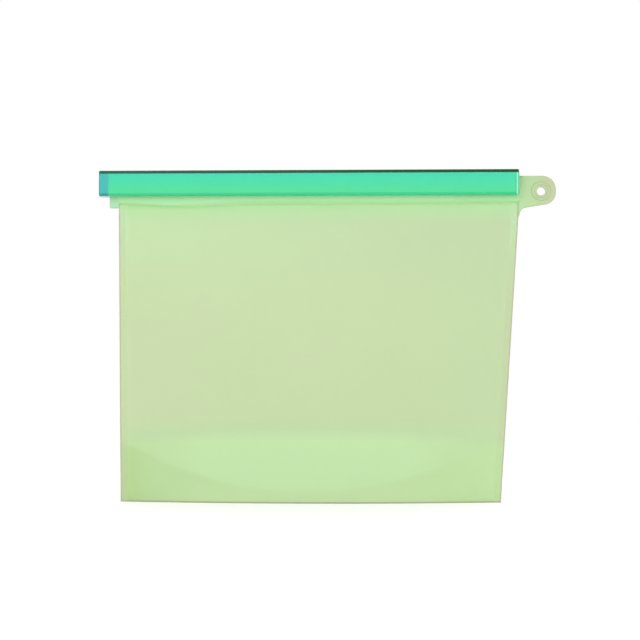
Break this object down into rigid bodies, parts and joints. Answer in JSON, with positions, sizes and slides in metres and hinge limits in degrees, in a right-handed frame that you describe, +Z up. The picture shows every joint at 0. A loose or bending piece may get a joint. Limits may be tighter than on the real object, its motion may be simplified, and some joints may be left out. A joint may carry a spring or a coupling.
{
  "type": "reusable silicone bag",
  "caption": "Reusable silicone food storage bag with a folded standing base, a hanging tab and a rigid slide bar that seals the mouth and pulls off sideways.",
  "frame": {"origin": "centre of the overall width and depth, on the surface that the bag stands on", "axes": "+Z up towards the slide bar, +X along the mouth towards the hanging tab, +Y from the front panel to the back panel"},
  "size_m": [0.2496, 0.0258, 0.181],
  "materials": {
    "panels": "satin translucent silicone",
    "gusset": "satin translucent silicone",
    "rails": "satin translucent silicone",
    "tab": "satin translucent silicone",
    "bar": "clear tinted gloss",
    "plug": "clear tinted gloss"
  },
  "bodies": {
    "bag": {"front_wall": "panels", "back_wall": "panels", "bottom_gusset": "gusset", "front_mouth_rail": "rails", "back_mouth_rail": "rails", "end_lug": "rails", "hanging_tab": "tab"},
    "bar": {"slide_bar": "bar", "bar_end_plug": "plug"}
  },
  "joints": [
    {"name": "bar_slide", "type": "slide", "parent": "bag", "child": "bar", "axis": [-1, 0, 0], "range_m": [0, 0.235]}
  ]
}
